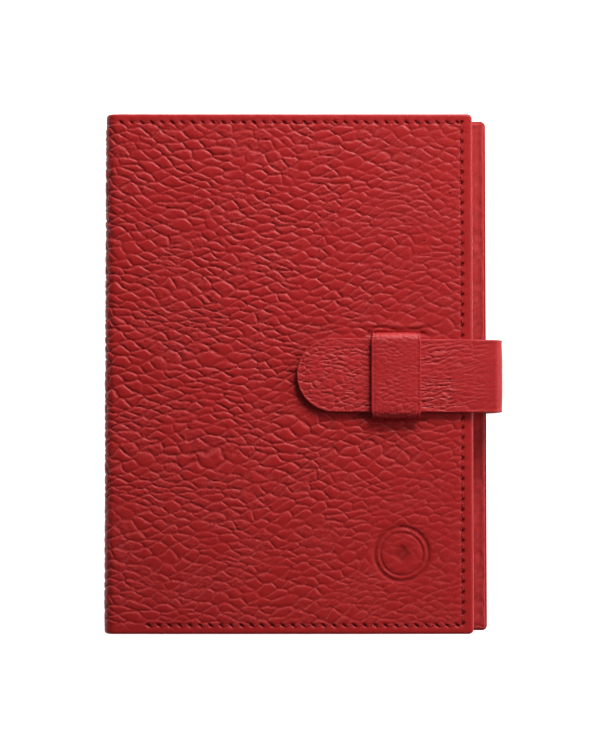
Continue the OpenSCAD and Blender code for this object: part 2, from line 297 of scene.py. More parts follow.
class Turn:
    """The outer surface of leather that runs up or down a side, round a bend and along a flat.

    s is mm along it from the middle of the side.
    """

    def __init__(self, x_out, side, middle, rise, radius, up):
        self.side, self.middle, self.rise, self.radius, self.up = side, middle, rise, radius, up
        self.centre = x_out - side * radius
        self.flat = rise + math.pi / 2 * radius

    def at(self, s):
        """Point (x, z), outward normal and direction of growing s."""
        s = np.asarray(s, float)
        phi = np.clip((s - self.rise) / self.radius, 0, math.pi / 2)
        x = self.centre + self.side * self.radius * np.cos(phi) - self.side * np.maximum(s - self.flat, 0)
        z = self.rise + self.radius * np.sin(phi) + np.minimum(s - self.rise, 0)
        nx, nz = self.side * np.cos(phi), np.sin(phi)
        tx, tz = -self.side * np.sin(phi), np.cos(phi)
        if not self.up:
            z, nz, tz = -z, -nz, -tz
        return x, z + self.middle, nx, nz, tx, tz

    def s_of(self, x):
        """s where the flat part is at x."""
        return self.flat + self.side * (self.centre - x)

    def hide_x(self, s):
        """Where s is on the flat hide: x on the upper flat, and running on past the side for the lower one."""
        run = s - self.flat
        return self.centre - self.side * (run if self.up else -run - 2 * self.flat)


FRONT = Turn(SPINE_X, -1, TOP / 2, TOP / 2 - FOLD_R, FOLD_R, True)
BACK = Turn(SPINE_X, -1, TOP / 2, TOP / 2 - FOLD_R, FOLD_R, False)
STRAP_MIDDLE = (anchor_low[2] + STRAP_TOP) / 2
STRAP_UP = Turn(STRAP_X, 1, STRAP_MIDDLE, STRAP_TOP - STRAP_MIDDLE - BEND_R, BEND_R, True)
STRAP_DOWN = Turn(STRAP_X, 1, STRAP_MIDDLE, STRAP_TOP - STRAP_MIDDLE - BEND_R, BEND_R, False)


def cover_skin(name, front, height, material, spacing=0.29, most=194000):
    """One half of the outer leather: a cover, its fold and half the spine, with turned edges.

    height(x, y) gives (height, values).
    """
    prof = FRONT if front else BACK
    end = prof.s_of(FRONT_X if front else BACK_X)
    corner, edge, thick = 1.4, 0.85, LEATHER
    depth = LINING_LOW
    wall = depth - edge
    ring = corner - edge + math.pi / 2 * edge + wall
    seam_s = end - (FRONT_X - FRONT_SEAM_X if front else BACK_X - BACK_SEAM_X)
    a = grid_lines(0, end - corner, spacing, [seam_s], 0.2, 0.8)
    rings = np.array([0.28, 0.55, 0.75, 0.95, 1.18, 1.45, 1.72, 1.9, 2.3, ring])
    a = np.concatenate([a, end - corner + rings])
    core = HALF - corner
    b = grid_lines(-core, core, spacing, [-SEAM_Y, SEAM_Y], 0.2, 0.8)
    b = np.concatenate([-core - rings[::-1], b, core + rings])
    A, B = np.meshgrid(a, b, indexing="ij")
    da = np.maximum(A - (end - corner), 0)
    db = np.maximum(np.abs(B) - core, 0)
    q = np.maximum(da, db)
    safe = np.maximum(q, 1e-9)
    theta = np.where(da >= db, math.pi / 4 * db / safe, math.pi / 2 - math.pi / 4 * da / safe)
    theta = np.where(q < 1e-9, 0, theta)

    def place(q_plan, d, lift, beta):
        s = np.minimum(A, end - corner) + q_plan * np.cos(theta)
        y = np.clip(B, -core, core) + np.sign(B) * q_plan * np.sin(theta)
        x, z, nx, nz, tx, tz = prof.at(s)
        out = lift * np.cos(beta) - d
        side = lift * np.sin(beta)
        px = x + out * nx + side * np.cos(theta) * tx
        pz = z + out * nz + side * np.cos(theta) * tz
        py = y + side * np.sin(theta) * np.sign(B)
        return np.stack([px, py, pz], -1), s, y

    e = np.clip(q - (corner - edge), 0, None)
    beta = np.clip(e / edge, 0, math.pi / 2)
    plan = np.minimum(q, corner - edge) + edge * np.sin(beta)
    d = edge * (1 - np.cos(beta)) + np.maximum(e - math.pi / 2 * edge, 0)
    hx = prof.hide_x(np.minimum(A, end - corner) + np.cos(theta) * q)
    hy = np.clip(B, -core, core) + np.sign(B) * np.sin(theta) * q
    lift, values = height(hx, hy)
    fade = 1 - step(corner - edge + 0.6, corner + 0.9, q)
    lift = lift * fade - 0.02
    points, s, y = place(plan, d, lift, beta)
    na, nb = len(a), len(b)
    index = np.arange(na * nb).reshape(na, nb)
    outer = np.stack([index[:-1, :-1], index[1:, :-1], index[1:, 1:], index[:-1, 1:]], -1).reshape(-1, 4)
    path = [(i, 0) for i in range(na)] + [(na - 1, j) for j in range(1, nb)]
    path += [(i, nb - 1) for i in range(na - 2, -1, -1)]
    pi, pj = np.array(path).T
    hem, _, _ = place(np.full_like(A, corner - thick), np.full_like(A, depth), np.zeros_like(A), beta)
    inside, _, _ = place(np.full_like(A, corner - thick), np.full_like(A, thick), np.zeros_like(A), beta)
    n0 = na * nb
    n1 = n0 + len(path)
    all_points = np.concatenate([points.reshape(-1, 3), hem[pi, pj], inside[pi, pj]])
    line = index[pi, pj]
    k = np.arange(len(path) - 1)
    bottom = np.stack([line[k], n0 + k, n0 + k + 1, line[k + 1]], -1)
    rise = np.stack([n0 + k, n1 + k, n1 + k + 1, n0 + k + 1], -1)
    low = np.arange(na)
    high = len(path) - 1 - np.arange(na)
    m = np.arange(na - 1)
    inner = np.stack([n1 + low[m], n1 + high[m], n1 + high[m + 1], n1 + low[m + 1]], -1)
    faces = outer.tolist() + bottom.tolist() + rise.tolist() + inner.tolist()
    faces.append([n1 + i for i in range(na - 1, na - 1 + nb)][::-1])
    cap = list(index[0, :]) + [n0 + len(path) - 1, n1 + len(path) - 1, n1, n0]
    faces.append(cap)
    if not front:
        faces = [f[::-1] for f in faces]
    flat_x = np.concatenate([hx.ravel(), hx[pi, pj], hx[pi, pj]])
    flat_y = np.concatenate([hy.ravel(), hy[pi, pj], hy[pi, pj]])
    full = {key: np.concatenate([v.ravel(), np.zeros(2 * len(path))]) for key, v in values.items()}
    obj = make(name, all_points, faces, material, np.stack([flat_x, flat_y], -1), full, 75)
    return thinned(obj, most, np.concatenate([A.ravel() > 0.5, A[pi, pj] > 0.5, A[pi, pj] > 0.5]))


# ---------------------------------------------------------------- the relief of each surface


def seam_dip(x, y, runs):
    """Depth and hole mask of a seam: runs are (x0, y0, x1, y1) stitched lines."""
    dip, hole = np.zeros_like(x), np.zeros_like(x)
    for x0, y0, x1, y1 in runs:
        length = math.hypot(x1 - x0, y1 - y0)
        ux, uy = (x1 - x0) / length, (y1 - y0) / length
        along = (x - x0) * ux + (y - y0) * uy
        off = -(x - x0) * uy + (y - y0) * ux
        inside = (along > -0.6) & (along < length + 0.6)
        band = np.exp(-((off / 0.55) ** 2)) * inside
        step_off = along - PITCH * np.round(along / PITCH)
        la, lb = 0.80 * step_off - 0.60 * off, 0.60 * step_off + 0.80 * off
        dip = np.maximum(dip, band * (0.6 + 0.4 * np.cos(2 * math.pi * along / PITCH)))
        hole = np.maximum(hole, np.exp(-((la / 0.68) ** 4) - (lb / 0.29) ** 2) * inside)
    return dip, hole


def front_runs():
    return [
        (FOLD_X + 1.2, SEAM_Y, FRONT_SEAM_X, SEAM_Y),
        (FRONT_SEAM_X, SEAM_Y, FRONT_SEAM_X, -SEAM_Y),
        (FOLD_X + 9.0, -SEAM_Y, FRONT_SEAM_X, -SEAM_Y),
    ]


def back_runs():
    return [
        (FOLD_X + 6.5, SEAM_Y, BACK_SEAM_X, SEAM_Y),
        (BACK_SEAM_X, SEAM_Y, BACK_SEAM_X, -SEAM_Y),
        (FOLD_X + 6.5, -SEAM_Y, BACK_SEAM_X, -SEAM_Y),
    ]


def emblem_depth(x, y):
    """A plain ring round a small diamond, pressed into the leather, from 0 to 1."""
    dx, dy = x - EMBLEM[0], y - EMBLEM[1]
    r = np.hypot(dx, dy)
    ring = np.exp(-(((r - 7.2) / 0.50) ** 4))
    inner = 0.8 * np.exp(-(((r - 5.7) / 0.32) ** 4))
    diamond = 1 - step(1.7, 3.2, np.abs(dx) + np.abs(dy))
    return np.maximum(np.maximum(ring, inner), diamond), 1 - step(7.6, 9.6, r)


def front_relief(x, y):
    """Height and values of the front half of the hide. Its left side and lower left are darker, painted shade for the
    light's falloff.
    """
    h, crease, groove = pebble(x, y)
    seam_off = np.minimum(FRONT_SEAM_X - x, SEAM_Y - np.abs(y))
    rim = 1 - step(-1.0, 1.2, seam_off)
    press, patch = emblem_depth(x, y)
    under_strap = step(TIP_X - 3, TIP_X + 6, x) * (1 - step(STRAP_HALF, STRAP_HALF + 3, np.abs(y - STRAP_Y)))
    calm = 1 - 0.86 * rim
    calm = calm * (1 - 0.55 * patch) * (1 - 0.35 * under_strap)
    right = step(5, 45, x)
    calm = calm * (1 - 0.22 * right)
    h, crease, groove = h * calm, crease * calm, groove * calm
    dip, hole = seam_dip(x, y, front_runs())
    h = h - 0.13 * dip - 0.42 * hole
    h = h - 0.27 * press - 0.05 * patch
    # leather pulled down where the loop's ends go in, with curved wrinkles below
    lx = np.clip(np.abs(x - (LOOP_L + LOOP_R) / 2) - (LOOP_R - LOOP_L) / 2, 0, None)
    for side in (1, -1):
        gap = side * (y - STRAP_Y) - LOOP_HALF
        pull = np.exp(-((gap / 0.7) ** 2)) * np.exp(-((lx / 1.2) ** 2))
        h = h - 0.55 * pull
        crease = crease * (1 - pull)
        away, bend, wander = (2.2, 0.9, 0.5) if side < 0 else (1.5, 0.4, 0.9)
        bow = gap - away - bend * np.cos(np.clip((x - LOOP_L - 5) / 9, -1.5, 1.5))
        bow = bow + wander * noise(x / 3, y / 9 + side, 77)
        span = 1 - step(4.5, 10.5, np.abs(x - (LOOP_L + LOOP_R) / 2 - 0.5))
        fold = np.exp(-((bow / 0.42) ** 2)) * span
        amount = (0.42 if side < 0 else 0.34) * (0.7 + 0.5 * noise(x / 2.6, y / 5, 78))
        h = h - amount * fold
        ridge = np.exp(-(((bow - 0.8) / 0.55) ** 2)) * span
        h = h + 0.5 * amount * ridge
        # Painted highlight on the ridge beside the upper wrinkle only, the side facing the light.
        crease = np.maximum(crease * (1 - fold), 0.5 * ridge * (side > 0))
        # Painted shade: the wrinkle folds join the grooves that get the deeper colour.
        groove = np.maximum(groove, fold)
    h = h + 0.06 * fbm(x / 23, y / 19, 5)
    # Painted shade: darker towards the spine and at the lower left, on top of the random tone.
    shade = 0.5 + 0.5 * fbm(x / 14, y / 12, 40) + 0.5 * (1 - step(-50, -20, x))
    shade = shade + 1.7 * (1 - step(-62, -15, y)) * (1 - step(-40, 20, x))
    # Painted shade in the grooves, wrinkle folds and stitch holes; the pressed emblem takes the deeper colour as its
    # own.
    deep = np.maximum(np.maximum(0.4 * press, 0.38 * groove), hole)
    return h, {"crease": crease, "press": deep, "mottle": shade}


def back_relief(x, y):
    """Height and values of the back half of the hide, the same as the front's at the middle of the spine."""
    h, crease, groove = pebble(x, y)
    xb = 2 * FOLD_X - x - 2 * BACK.flat  # x on the back cover
    seam_off = np.minimum(BACK_SEAM_X - xb, SEAM_Y - np.abs(y))
    rim = 1 - step(-0.7, 1.6, seam_off)
    by_seam = 1 - step(1.0, 2.6, np.abs(BACK_SEAM_X - xb))
    by_edge = np.maximum(1 - step(0.8, 2.6, BACK_X - xb), 1 - step(-0.7, 1.6, SEAM_Y - np.abs(y)))
    rim = rim * np.maximum(by_seam, by_edge)
    spine = 1 - step(0.5, 4.2, FOLD_X - BACK.flat - x)
    rim = rim * (1 - spine) + (1 - step(-1.0, 1.2, SEAM_Y - np.abs(y))) * spine
    calm = 1 - (0.7 + 0.16 * spine) * rim
    h, crease, groove = h * calm, crease * calm, groove * calm
    dip, hole = seam_dip(xb, y, back_runs())
    h = h - 0.16 * dip - 0.24 * hole + 0.06 * fbm(x / 23, y / 19, 5)
    # the holder lies on this face: nothing stands below the table
    h = spine * h + (1 - spine) * np.minimum(h, 0.0)
    # Painted shade: the spine and its lower part are darker on top of the random tone, and the grooves and stitch holes
    # get the deeper colour.
    shade = 0.5 + 0.5 * fbm(x / 14, y / 12, 40) + spine * (1.7 * (1 - step(-62, -15, y)) + 0.5)
    return h, {"crease": crease, "press": np.maximum(0.38 * groove, hole), "mottle": shade}


# ---------------------------------------------------------------- materials


class Nodes:
    """Short ways to add shader nodes."""

    def __init__(self, name):
        self.material = bpy.data.materials.new(name)
        self.material.use_nodes = True
        self.tree = self.material.node_tree
        self.shader = self.tree.nodes["Principled BSDF"]

    def node(self, kind, inputs=(), **settings):
        n = self.tree.nodes.new(kind)
        for key, value in settings.items():
            setattr(n, key, value)
        for key, value in dict(inputs).items():
            self.set(n.inputs[key], value)
        return n

    def set(self, socket, value):
        if isinstance(value, bpy.types.NodeSocket):
            self.tree.links.new(value, socket)
        else:
            socket.default_value = value

    def math(self, how, a, b=None, clamp=False):
        n = self.node("ShaderNodeMath", operation=how, use_clamp=clamp)
        self.set(n.inputs[0], a)
        if b is not None:
            self.set(n.inputs[1], b)
        return n.outputs[0]

    def mix(self, amount, a, b, how="MIX"):
        n = self.node("ShaderNodeMix", data_type="RGBA", blend_type=how)
        self.set(n.inputs["Factor"], amount)
        self.set(n.inputs[6], a)
        self.set(n.inputs[7], b)
        return n.outputs[2]

    def value(self, name):
        return self.node("ShaderNodeAttribute", attribute_name=name).outputs["Fac"]

    def where(self):
        return self.node("ShaderNodeUVMap", uv_map="hide").outputs[0]

    def noise(self, at, scale, detail=3.0, rough=0.5):
        inputs = {"Vector": at, "Scale": scale, "Detail": detail, "Roughness": rough}
        return self.node("ShaderNodeTexNoise", inputs).outputs["Fac"]

    def bump(self, height, strength, distance, below=None):
        n = self.node("ShaderNodeBump", {"Height": height, "Strength": strength, "Distance": distance})
        if below is not None:
            self.set(n.inputs["Normal"], below)
        return n.outputs[0]


def leather(name, base, deep, painted_highlight_colour, rough=0.42, grain=0.5, micro=26.0):
    """Dyed leather: base colour, a deeper colour as painted shade in grooves and stitch holes and for the pressed
    emblem, and a lighter colour as painted highlight on crests.

    grain is the strength of its pores.
    """
    n = Nodes(name)
    at = n.where()
    broad = n.noise(at, 0.55, 3)
    speckle = n.noise(at, 9.0, 4, 0.6)
    mottle = n.value("mottle")
    crease = n.value("crease")
    press = n.value("press")
    varied = n.math("ADD", n.math("MULTIPLY", broad, 0.5), n.math("MULTIPLY", mottle, 0.5))
    colour = n.mix(n.math("MULTIPLY", varied, 0.55, True), (*base, 1), (*[c * 0.80 for c in base], 1))
    dots = n.math("MULTIPLY", n.math("SUBTRACT", speckle, 0.42, True), 0.9, True)
    colour = n.mix(dots, colour, (*[c * 0.72 for c in base], 1))
    # Painted highlight: the lighter colour on the crests that the values mark.
    line = n.math("MULTIPLY", crease, n.math("ADD", n.math("MULTIPLY", speckle, 0.5), 0.1), True)
    colour = n.mix(line, colour, (*painted_highlight_colour, 1))
    # Painted shade: the deeper colour in grooves, folds, pleats and stitch holes, and the pressed emblem's own colour.
    colour = n.mix(press, colour, (*deep, 1))
    n.set(n.shader.inputs["Base Color"], colour)
    shine = n.math("ADD", n.math("MULTIPLY", speckle, 0.22), n.math("MULTIPLY", press, 0.12))
    n.set(n.shader.inputs["Roughness"], n.math("ADD", shine, rough - 0.11, True))
    pores = n.node("ShaderNodeTexVoronoi", {"Vector": at, "Scale": micro, "Randomness": 1.0}).outputs["Distance"]
    wrinkles = n.noise(at, micro * 0.55, 5, 0.65)
    first = n.bump(wrinkles, 0.55 * grain, 0.00012)
    n.set(n.shader.inputs["Normal"], n.bump(pores, 0.5 * grain, 0.00007, first))
    n.shader.inputs["Specular IOR Level"].default_value = 0.13
    return n.material


def thread_material():
    n = Nodes("waxed_thread")
    at = n.where()
    twist = {"Vector": at, "Scale": 9.0, "Distortion": 0.6, "Detail": 1.0}
    wave = n.node("ShaderNodeTexWave", twist, bands_direction="DIAGONAL").outputs["Fac"]
    fibre = n.noise(at, 60.0, 3)
    # The twist's darker and lighter bands follow the waves of its bump: painted shade between the plies.
    colour = n.mix(wave, (0.20, 0.009, 0.010, 1), (0.36, 0.020, 0.021, 1))
    n.set(n.shader.inputs["Base Color"], n.mix(n.math("MULTIPLY", fibre, 0.2), colour, (0.42, 0.04, 0.04, 1)))
    n.shader.inputs["Roughness"].default_value = 0.6
    n.shader.inputs["Specular IOR Level"].default_value = 0.12
    n.set(n.shader.inputs["Normal"], n.bump(wave, 0.6, 0.0001))
    return n.material


def board_material():
    n = Nodes("fibre_board")
    at = n.node("ShaderNodeTexCoord").outputs["Object"]
    fibres = n.noise(at, 900.0, 5, 0.7)
    specks = n.noise(at, 3000.0, 2)
    colour = n.mix(fibres, (0.30, 0.22, 0.14, 1), (0.52, 0.42, 0.30, 1))
    n.set(n.shader.inputs["Base Color"], n.mix(n.math("MULTIPLY", specks, 0.35), colour, (0.16, 0.11, 0.07, 1)))
    n.shader.inputs["Roughness"].default_value = 0.85
    n.set(n.shader.inputs["Normal"], n.bump(fibres, 0.4, 0.0001))
    return n.material


# Each leather's second colour is painted shade and the pressed emblem's colour; its third is the painted highlight.
red = leather(
    "red_pebbled_leather", (0.37, 0.0150, 0.0155), (0.14, 0.005, 0.006), (0.62, 0.090, 0.088)
)
strap_red = leather(
    "red_strap_leather", (0.40, 0.0180, 0.0195), (0.15, 0.006, 0.007), (0.64, 0.105, 0.105), rough=0.40
)
lining_red = leather(
    "red_lining_leather", (0.41, 0.0265, 0.0275), (0.16, 0.008, 0.008), (0.60, 0.08, 0.08), rough=0.5, micro=40.0
)
thread = thread_material()
card = board_material()

# ---------------------------------------------------------------- outer leather

skin_front = cover_skin("leather_front", True, front_relief, red)
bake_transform(skin_front)
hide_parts("outer_leather_front", "front_fold", "outer_leather_spine")
skin_back = cover_skin("leather_back", False, back_relief, red)
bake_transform(skin_back)
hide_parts("outer_leather_back", "back_fold")


def skin_values(x, y, crease=None, press=None, seed=40):
    """The numbers that the leather materials read, where a relief gives none."""
    zero = np.zeros_like(x)
    return {
        "crease": zero if crease is None else crease,
        "press": zero if press is None else press,
        "mottle": 0.5 + 0.5 * fbm(x / 14, y / 12, seed),
    }


def spaced(low, high, spacing, rounded_low=True, rounded_high=True):
    """Grid lines from low to high, close together beside a rounded edge."""
    close = np.array([0, 0.05, 0.12, 0.22, 0.36, 0.55, 0.8, 1.1])
    a = low + close if rounded_low else np.array([low])
    b = high - close[::-1] if rounded_high else np.array([high])
    count = max(2, int(round((b[0] - a[-1]) / spacing)))
    return np.concatenate([a, np.linspace(a[-1], b[0], count + 1)[1:-1], b])


def slab(
    name, path, ls, ws, d_out, d_in, material,
    plan=None, distance=None, relief=None, inner=None, shift=None, edge=0.3, seed=0,
):
    """A closed layer of leather between two depths under a path's outer surface.

    ls and ws are its grid lines. plan(l, w) moves a grid point to its place, distance(l, w) is how far
    it is inside the outline, relief and inner give (height, values) of the two faces, and shift(x, y)
    lowers both.
    """
    L, W = np.meshgrid(ls, ws, indexing="ij")
    far = distance(L, W) if distance else np.full_like(L, 9.0)
    if plan:
        L, W = plan(L, W)
    hx, hy = path.hide_x(L), W
    x, z, nx, nz, tx, tz = path.at(L)
    moved = shift(hx, hy) if shift else 0
    near = np.clip(far, 0, edge)
    round_off = edge - np.sqrt(np.maximum(edge**2 - (edge - near) ** 2, 0))
    fade = step(0, edge + 0.25, far)
    h1, v1 = relief(hx, hy, far) if relief else (0, skin_values(hx, hy, seed=seed))
    h2, v2 = inner(hx, hy, far) if inner else (0, skin_values(hx, hy, seed=seed + 9))
    d1 = d_out + round_off + moved - h1 * fade
    d2 = d_in - round_off + moved + h2 * fade

    def layer(d):
        return np.stack([x - nx * d, W, z - nz * d], -1)

    na, nb = L.shape
    n = na * nb
    index = np.arange(n).reshape(na, nb)
    quad = np.stack([index[:-1, :-1], index[1:, :-1], index[1:, 1:], index[:-1, 1:]], -1).reshape(-1, 4)
    ring = np.concatenate([index[:, 0], index[-1, 1:], index[-2::-1, -1], index[0, -2:0:-1]])
    after = np.roll(ring, -1)
    wall = np.stack([ring, ring + n, after + n, after], -1)
    faces = np.concatenate([quad, quad[:, ::-1] + n, wall])
    if (path.side > 0) == path.up:
        faces = faces[:, ::-1]
    points = np.concatenate([layer(d1).reshape(-1, 3), layer(d2).reshape(-1, 3)])
    values = {k: np.concatenate([v1[k].ravel(), v2[k].ravel()]) for k in v1}
    uv = np.stack([np.tile(hx.ravel(), 2), np.tile(hy.ravel(), 2)], -1)
    uv[n:, 0] += 300
    return make(name, points, faces.tolist(), material, uv, values, 60)


def box_distance(l0, l1, w0, w1, cut_start=False):
    def distance(l, w):
        d = np.minimum(np.minimum(l1 - l, w - w0), w1 - w)
        return d if cut_start else np.minimum(d, l - l0)
    return distance


# ---------------------------------------------------------------- strap


def tongue_plan(lc, radius):
    """Turns grid lines (l, share of the half width) into a strip with a half round end at l = lc + radius."""
    def plan(l, w):
        beyond = np.clip((l - lc) / radius, 0, 1)
        return lc + radius * np.sin(beyond * math.pi / 2) * (beyond > 0) + np.minimum(l - lc, 0), w * np.where(
            beyond > 0, np.maximum(np.cos(beyond * math.pi / 2), 0.004), 1.0
        )
    return plan


def strap_relief(x, y, far):
    h, painted_highlight, groove = fine_grain(x, y, 201, 3.9, 1.7)
    long = fine_grain(x, y - 0.12 * x, 205, 7.0, 1.5)
    past = step(LOOP_R - 3, LOOP_R, x)
    h, painted_highlight, groove = [(1 - past) * a + past * b for a, b in zip((h, painted_highlight, groove), long)]
    stretched = step(34, 47, x)
    keep = 1 - 0.6 * stretched - 0.25 * step(47, 51, x)
    h, painted_highlight, groove = 1.7 * h * keep, painted_highlight * keep, groove * keep
    streak = noise(x / 7 + 3, y / 0.75 + 0.9 * noise(x / 3.5, y / 3, 212), 211)
    low_half = 0.35 + 0.65 * step(3, -6, y)
    reach = step(LOOP_R - 1, LOOP_R + 1.5, x) * (1 - step(36, 46, x))
    reach = reach + 0.5 * step(8, 14, x) * (1 - step(LOOP_L, LOOP_L + 2, x))
    fold = np.exp(-((streak / 0.18) ** 2)) * reach * low_half
    h = h - 0.20 * fold + 0.10 * np.exp(-(((streak - 0.42) / 0.16) ** 2)) * reach * low_half
    # Painted highlight on the ridges beside the fold streaks.
    painted_highlight = np.maximum(painted_highlight, np.exp(-(((streak - 0.36) / 0.14) ** 2)) * reach * low_half)
    groove = np.maximum(groove, 0.5 * fold)
    h = h + 0.03 * np.exp(-(((far - 0.5) / 0.25) ** 2)) - 0.02 * np.exp(-(((far - 1.1) / 0.3) ** 2))
    h = h + 0.14 * step(0, 7, far) - 0.14 + 0.06 * fbm(x / 12, y / 9, 220)
    calm = step(0.4, 1.4, far)
    # Random pale flecks on top of the painted highlight, then a painted highlight along the strap's edges.
    painted_highlight = 1.25 * painted_highlight * calm + 0.3 * np.abs(noise(x / 0.9, y / 0.7, 231))
    painted_highlight = painted_highlight + 0.35 * np.exp(-(((far - 0.4) / 0.25) ** 2))
    # Painted shade in the grooves.
    return h, skin_values(x, y, np.clip(painted_highlight, 0, 1), 0.36 * groove * calm, 230)


def strap_piece(name, path, length, layer, material, tip=False, inset=0.0, relief=None, spacing=0.22):
    half = STRAP_HALF - inset
    lc = length - half if tip else None
    if tip:
        ls = np.concatenate([spaced(0, lc, spacing, False, False)[:-1], lc + half * np.linspace(0, 1, 60)])
    else:
        ls = spaced(0, length, spacing, False, True)
    ws = spaced(-half, half, spacing)
    plain = tongue_plan(lc, half) if tip else (lambda l, w: (l, w))

    def plan(l, w):
        """The strap narrows a little and runs a little down towards its bend."""
        l, w = plain(l, w)
        t = 1 - np.clip(l / length, 0, 1) if tip else 1.0
        return l, w * (1 - 0.032 * t) - 0.5 * t + 0.45

    def distance(l, w):
        side = half - np.abs(w)
        if not tip:
            return np.minimum(side, length - l)
        pl, pw = plain(l, w)
        return np.where(pl > lc, half - np.hypot(pl - lc, pw), side)

    obj = slab(name, path, ls, ws, *layer, material, plan, distance, relief, edge=0.4, seed=50)
    obj.data.transform(Matrix.Translation((0, STRAP_Y * MM, 0)))
    return obj


tongue_length = STRAP_UP.s_of(TIP_X)
anchor_length = STRAP_DOWN.s_of(anchor_low[0])
strap_thick = STRAP_TOP - STRAP_LOW

tongue = strap_piece(
    "strap_tongue_leather", STRAP_UP, tongue_length, (0, 0.92), strap_red, tip=True, relief=strap_relief
)
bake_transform(tongue)
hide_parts("strap_upper_bend", "strap_tongue")
tongue_back = strap_piece(
    "strap_tongue_lining", STRAP_UP, tongue_length - 0.25, (0.93, strap_thick), lining_red,
    tip=True, inset=0.25, spacing=0.6,
)
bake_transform(tongue_back)
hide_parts("strap_tongue_backing")
base = strap_piece(
    "strap_base_leather", STRAP_DOWN, anchor_length, (0, 0.78), strap_red, relief=strap_relief
)
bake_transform(base)
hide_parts("strap_anchor", "strap_lower_bend", "strap_side")
base_back = strap_piece(
    "strap_base_lining", STRAP_DOWN, STRAP_DOWN.s_of(BACK_X + 0.4), (0.8, strap_thick), lining_red,
    inset=0.2, spacing=0.6,
)
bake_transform(base_back)
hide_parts("strap_side_backing")

# ---------------------------------------------------------------- keeper loop


class LoopPath:
    """The keeper loop's outer surface in the YZ plane, from one tail's end over the arch to the other's.

    s is mm along it.
    """

    side, up = 1, True

    def __init__(self):
        out, thick, r = LOOP_HALF, 1.0, 1.95
        tail_top = front_low[2] + 0.8
        half = [(out + 7.2, tail_top, 0.0, 1.0)]
        half.append((out + 0.7, tail_top, 0.0, 1.0))
        for k in range(1, 7):
            t = math.pi / 2 * k / 6
            half.append((out + 0.7 - 0.7 * math.sin(t), tail_top + 0.7 - 0.7 * math.cos(t), math.sin(t), math.cos(t)))
        half.append((out, LOOP_TOP - r, 1.0, 0.0))
        for k in range(1, 13):
            t = math.pi / 2 * k / 12
            half.append((out - r + r * math.cos(t), LOOP_TOP - r + r * math.sin(t), math.cos(t), math.sin(t)))
        line = np.array(half + [(-y, z, -ny, nz) for y, z, ny, nz in half[::-1]])
        self.s = np.concatenate([[0], np.cumsum(np.hypot(*np.diff(line[:, :2], axis=0).T))])
        self.line = line
        self.length = self.s[-1]
        self.thick = thick

    def place(self, s):
        return [np.interp(s, self.s, self.line[:, k]) for k in range(4)]


def loop_piece():
    path = LoopPath()
    width = LOOP_R - LOOP_L
    middle = path.length / 2
    tails = spaced(0, 7, 0.5), spaced(path.length - 7, path.length, 0.5)
    bend = np.concatenate([tails[0], np.arange(7.2, path.length - 7.1, 0.24), tails[1]])
    ws = spaced(0, width, 0.3)
    S, W = np.meshgrid(bend, ws, indexing="ij")
    far = np.minimum(np.minimum(W, width - W), np.minimum(S, path.length - S))
    y, z, ny, nz = path.place(S)
    size = np.hypot(ny, nz)
    ny, nz = ny / size, nz / size
    h, painted_highlight, crease = fine_grain(W + 70, -S, 301, 3.0, 1.5)
    h, painted_highlight, crease = 1.1 * h, 0.75 * painted_highlight, 0.4 * crease
    rim = np.exp(-(((far - 0.8) / 0.22) ** 2))
    from_top = S - (middle - LOOP_HALF)
    lower = path.length - S - (middle - LOOP_HALF)
    pleat = 0.5 + 0.5 * np.cos(2 * math.pi * (W / 0.85 + 0.5 * noise(W / 2, S / 3, 311)))
    pleat = pleat * np.exp(-(((lower - 1.6) / 1.5) ** 2)) * step(0.8, 2.2, far)
    h = h - 0.09 * rim - 0.12 * pleat + 0.06 * fbm(W / 6, S / 7, 305) + 0.08 * step(0, 4, far) - 0.08
    edge = 0.38
    near = np.clip(far, 0, edge)
    round_off = edge - np.sqrt(np.maximum(edge**2 - (edge - near) ** 2, 0))
    fade = step(0, 0.6, far)
    # the ends narrow a little where they go through the slits
    narrow = 0.35 * (step(2.5, 0, from_top) + step(2.5, 0, lower)) * (W - width / 2) / (width / 2)
    d1 = round_off - h * fade
    d2 = path.thick - round_off

    def layer(d):
        return np.stack([LOOP_L + W - narrow, y - ny * d, z - nz * d], -1)

    na, nb = S.shape
    n = na * nb
    index = np.arange(n).reshape(na, nb)
    quad = np.stack([index[:-1, :-1], index[1:, :-1], index[1:, 1:], index[:-1, 1:]], -1).reshape(-1, 4)
    ring = np.concatenate([index[:, 0], index[-1, 1:], index[-2::-1, -1], index[0, -2:0:-1]])
    after = np.roll(ring, -1)
    faces = np.concatenate([quad, quad[:, ::-1] + n, np.stack([ring, ring + n, after + n, after], -1)])[:, ::-1]
    # Painted highlight across the loop's upper bend; the pale values also hold the crests' painted highlight and random
    # pale flecks.
    painted_bend_highlight = 0.9 * np.exp(-(((from_top - 0.9) / 1.15) ** 2))
    pale = np.clip(painted_highlight + painted_bend_highlight + 0.2 * np.abs(noise(W / 0.9, S / 0.7, 331)), 0, 1)
    # Painted shade in the grooves, the pleats at the lower end and the crease inside the edges.
    painted_shade = np.clip(0.6 * crease + 0.3 * pleat + 0.25 * rim, 0, 1)
    values = skin_values(W + 70, S, pale, painted_shade, 330)
    both = {k: np.concatenate([v.ravel(), v.ravel()]) for k, v in values.items()}
    uv = np.stack([np.tile(W.ravel() + 70, 2), np.tile(S.ravel(), 2)], -1)
    points = np.concatenate([layer(d1).reshape(-1, 3), layer(d2).reshape(-1, 3)])
    points[:, 1] += STRAP_Y + 0.2
    return make("keeper_loop_leather", points, faces.tolist(), strap_red, uv, both, 60)


keeper = loop_piece()
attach(keeper, "front_cover")
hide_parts("keeper_loop")

# ---------------------------------------------------------------- linings and pockets


